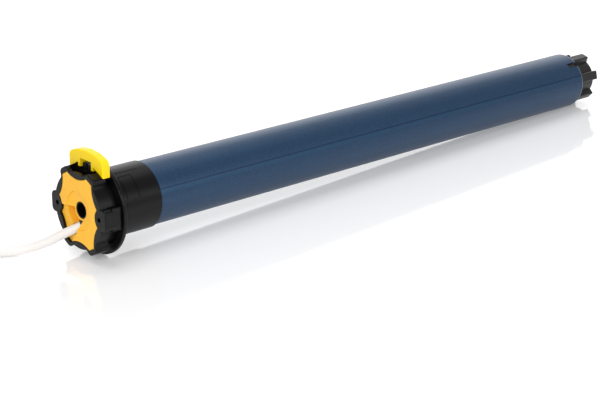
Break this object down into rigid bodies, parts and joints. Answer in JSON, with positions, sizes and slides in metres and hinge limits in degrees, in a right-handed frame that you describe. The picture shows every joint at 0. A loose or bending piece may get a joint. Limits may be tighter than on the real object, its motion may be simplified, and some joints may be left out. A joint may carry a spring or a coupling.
{
  "type": "tubular roller blind motor",
  "caption": "Tubular motor for a roller blind: head with limit buttons, idler crown, geared drive hub and cable.",
  "frame": {"origin": "centre of the head's outer face, on the motor's axis, midway between the two bracket screw holes", "axes": "+X along the motor's axis from the head to the drive hub, +Z towards the limit buttons, +Y to the side where the cable leaves"},
  "size_m": [0.6735, 0.1066, 0.0767],
  "materials": {
    "aluminium": "cast",
    "amber_plastic": "amber",
    "black_plastic": "satin black",
    "brake_lining": "friction lining",
    "bronze": "sintered bronze",
    "capacitor_case": "pale case",
    "copper": "varnished copper",
    "core_black": "insulation",
    "core_blue": "insulation",
    "core_brown": "insulation",
    "core_earth": "green insulation with yellow",
    "grey_rubber": "soft",
    "laminations": "stacked sheet",
    "navy_tube": "metallic dark blue paint, fine sparkle",
    "spring_steel": "spring wire",
    "steel": "turned steel",
    "white_cable": "white sheath",
    "white_nylon": "natural nylon",
    "yellow_plastic": "bright yellow"
  },
  "bodies": {
    "base": {"head_housing": "black_plastic", "star_cover": "amber_plastic", "cable_gland": "grey_rubber", "tube_plug": "black_plastic", "motor_tube": "navy_tube", "limit_frame": "black_plastic", "cam_axle": "steel", "microswitches": "black_plastic", "terminal_block": "white_nylon", "capacitor": "capacitor_case", "capacitor_holder": "black_plastic", "brake_yoke": "steel", "brake_coil": "copper", "brake_spring": "spring_steel", "brake_end_bell": "aluminium", "gear_end_bell": "aluminium", "shaft_bushes": "bronze", "stator_core": "laminations", "stator_windings": "copper", "ring_gear": "steel", "output_bearing": "bronze", "button_spring_up": "spring_steel", "button_spring_down": "spring_steel", "cable_stretch": "white_cable", "cable_coil": "white_cable", "coil_tie": "black_plastic", "core_brown": "core_brown", "core_blue": "core_blue", "core_black": "core_black", "core_earth": "core_earth", "core_tips": "copper"},
    "crown": {"crown": "black_plastic"},
    "spindle": {"limit_spindle": "white_nylon"},
    "cam_up": {"cam_wheel_up": "white_nylon"},
    "cam_down": {"cam_wheel_down": "white_nylon"},
    "lever_up": {"switch_lever_up": "spring_steel"},
    "lever_down": {"switch_lever_down": "spring_steel"},
    "button_up": {"limit_button_up": "black_plastic"},
    "button_down": {"limit_button_down": "black_plastic"},
    "cap": {"button_cover": "yellow_plastic"},
    "rotor": {"rotor_core": "laminations", "rotor_shaft": "steel", "brake_disc": "brake_lining"},
    "armature": {"brake_armature": "steel"},
    "carrier_1": {"first_carrier": "steel"},
    "carrier_2": {"second_carrier": "steel"},
    "output": {"output_carrier": "steel", "drive_hub": "black_plastic", "hub_screw": "steel"},
    "first_planet_1": {"first_planet_1": "white_nylon"},
    "first_planet_2": {"first_planet_2": "white_nylon"},
    "first_planet_3": {"first_planet_3": "white_nylon"},
    "second_planet_1": {"second_planet_1": "steel"},
    "second_planet_2": {"second_planet_2": "steel"},
    "second_planet_3": {"second_planet_3": "steel"},
    "third_planet_1": {"third_planet_1": "steel"},
    "third_planet_2": {"third_planet_2": "steel"},
    "third_planet_3": {"third_planet_3": "steel"}
  },
  "joints": [
    {"name": "crown_spin", "type": "hinge", "parent": "base", "child": "crown", "pos_m": [0.03, 0, 0], "axis": [1, 0, 0], "continuous": true},
    {"name": "spindle_spin", "type": "hinge", "parent": "base", "child": "spindle", "pos_m": [0.03, 0, 0.0128], "axis": [1, 0, 0], "continuous": true},
    {"name": "cam_up_spin", "type": "hinge", "parent": "base", "child": "cam_up", "pos_m": [0.034, 0, 0.0028], "axis": [1, 0, 0], "continuous": true},
    {"name": "cam_down_spin", "type": "hinge", "parent": "base", "child": "cam_down", "pos_m": [0.041, 0, 0.0028], "axis": [1, 0, 0], "continuous": true},
    {"name": "rotor_spin", "type": "hinge", "parent": "base", "child": "rotor", "pos_m": [0.28, 0, 0], "axis": [1, 0, 0], "continuous": true},
    {"name": "armature_slide", "type": "slide", "parent": "base", "child": "armature", "axis": [-1, 0, 0], "range_m": [0, 0.0005], "stiffness_N_per_m": 4000, "springref_m": -0.002},
    {"name": "cap_lift", "type": "slide", "parent": "base", "child": "cap", "axis": [0, 0, 1], "range_m": [0, 0.025]},
    {"name": "button_up_press", "type": "slide", "parent": "base", "child": "button_up", "axis": [0, 0, -1], "range_m": [0, 0.003], "stiffness_N_per_m": 400, "springref_m": -0.001, "deforming": ["button_spring_up"]},
    {"name": "button_down_press", "type": "slide", "parent": "base", "child": "button_down", "axis": [0, 0, -1], "range_m": [0, 0.003], "stiffness_N_per_m": 400, "springref_m": -0.001, "deforming": ["button_spring_down"]},
    {"name": "lever_up_press", "type": "hinge", "parent": "base", "child": "lever_up", "pos_m": [0.0351, -0.005, -0.00585], "axis": [1, 0, 0], "range_deg": [-3, 0], "stiffness_Nm_per_rad": 0.002, "springref_deg": 1.15},
    {"name": "lever_down_press", "type": "hinge", "parent": "base", "child": "lever_down", "pos_m": [0.0417, -0.005, -0.00585], "axis": [1, 0, 0], "range_deg": [-3, 0], "stiffness_Nm_per_rad": 0.002, "springref_deg": 1.15},
    {"name": "carrier_1_spin", "type": "hinge", "parent": "base", "child": "carrier_1", "pos_m": [0.39, 0, 0], "axis": [1, 0, 0], "continuous": true},
    {"name": "carrier_2_spin", "type": "hinge", "parent": "base", "child": "carrier_2", "pos_m": [0.41, 0, 0], "axis": [1, 0, 0], "continuous": true},
    {"name": "hub_spin", "type": "hinge", "parent": "base", "child": "output", "pos_m": [0.45, 0, 0], "axis": [1, 0, 0], "continuous": true},
    {"name": "first_planet_1_spin", "type": "hinge", "parent": "carrier_1", "child": "first_planet_1", "pos_m": [0.38, 0.01125, 0], "axis": [1, 0, 0], "continuous": true},
    {"name": "first_planet_2_spin", "type": "hinge", "parent": "carrier_1", "child": "first_planet_2", "pos_m": [0.38, -0.00562, 0.00974], "axis": [1, 0, 0], "continuous": true},
    {"name": "first_planet_3_spin", "type": "hinge", "parent": "carrier_1", "child": "first_planet_3", "pos_m": [0.38, -0.00562, -0.00974], "axis": [1, 0, 0], "continuous": true},
    {"name": "second_planet_1_spin", "type": "hinge", "parent": "carrier_2", "child": "second_planet_1", "pos_m": [0.395, 0.01125, 0], "axis": [1, 0, 0], "continuous": true},
    {"name": "second_planet_2_spin", "type": "hinge", "parent": "carrier_2", "child": "second_planet_2", "pos_m": [0.395, -0.00562, 0.00974], "axis": [1, 0, 0], "continuous": true},
    {"name": "second_planet_3_spin", "type": "hinge", "parent": "carrier_2", "child": "second_planet_3", "pos_m": [0.395, -0.00562, -0.00974], "axis": [1, 0, 0], "continuous": true},
    {"name": "third_planet_1_spin", "type": "hinge", "parent": "output", "child": "third_planet_1", "pos_m": [0.42, 0.01125, 0], "axis": [1, 0, 0], "continuous": true},
    {"name": "third_planet_2_spin", "type": "hinge", "parent": "output", "child": "third_planet_2", "pos_m": [0.42, -0.00562, 0.00974], "axis": [1, 0, 0], "continuous": true},
    {"name": "third_planet_3_spin", "type": "hinge", "parent": "output", "child": "third_planet_3", "pos_m": [0.42, -0.00562, -0.00974], "axis": [1, 0, 0], "continuous": true}
  ],
  "couplings": [
    {"joint": "spindle_spin", "follows": "crown_spin", "ratio": 3},
    {"joint": "cam_up_spin", "follows": "crown_spin", "ratio": -1},
    {"joint": "cam_down_spin", "follows": "crown_spin", "ratio": -1},
    {"joint": "carrier_1_spin", "follows": "rotor_spin", "ratio": 0.2},
    {"joint": "carrier_2_spin", "follows": "rotor_spin", "ratio": 0.04},
    {"joint": "hub_spin", "follows": "rotor_spin", "ratio": 0.008},
    {"joint": "first_planet_1_spin", "follows": "rotor_spin", "ratio": -0.53333},
    {"joint": "first_planet_2_spin", "follows": "rotor_spin", "ratio": -0.53333},
    {"joint": "first_planet_3_spin", "follows": "rotor_spin", "ratio": -0.53333},
    {"joint": "second_planet_1_spin", "follows": "rotor_spin", "ratio": -0.10667},
    {"joint": "second_planet_2_spin", "follows": "rotor_spin", "ratio": -0.10667},
    {"joint": "second_planet_3_spin", "follows": "rotor_spin", "ratio": -0.10667},
    {"joint": "third_planet_1_spin", "follows": "rotor_spin", "ratio": -0.021333},
    {"joint": "third_planet_2_spin", "follows": "rotor_spin", "ratio": -0.021333},
    {"joint": "third_planet_3_spin", "follows": "rotor_spin", "ratio": -0.021333}
  ]
}
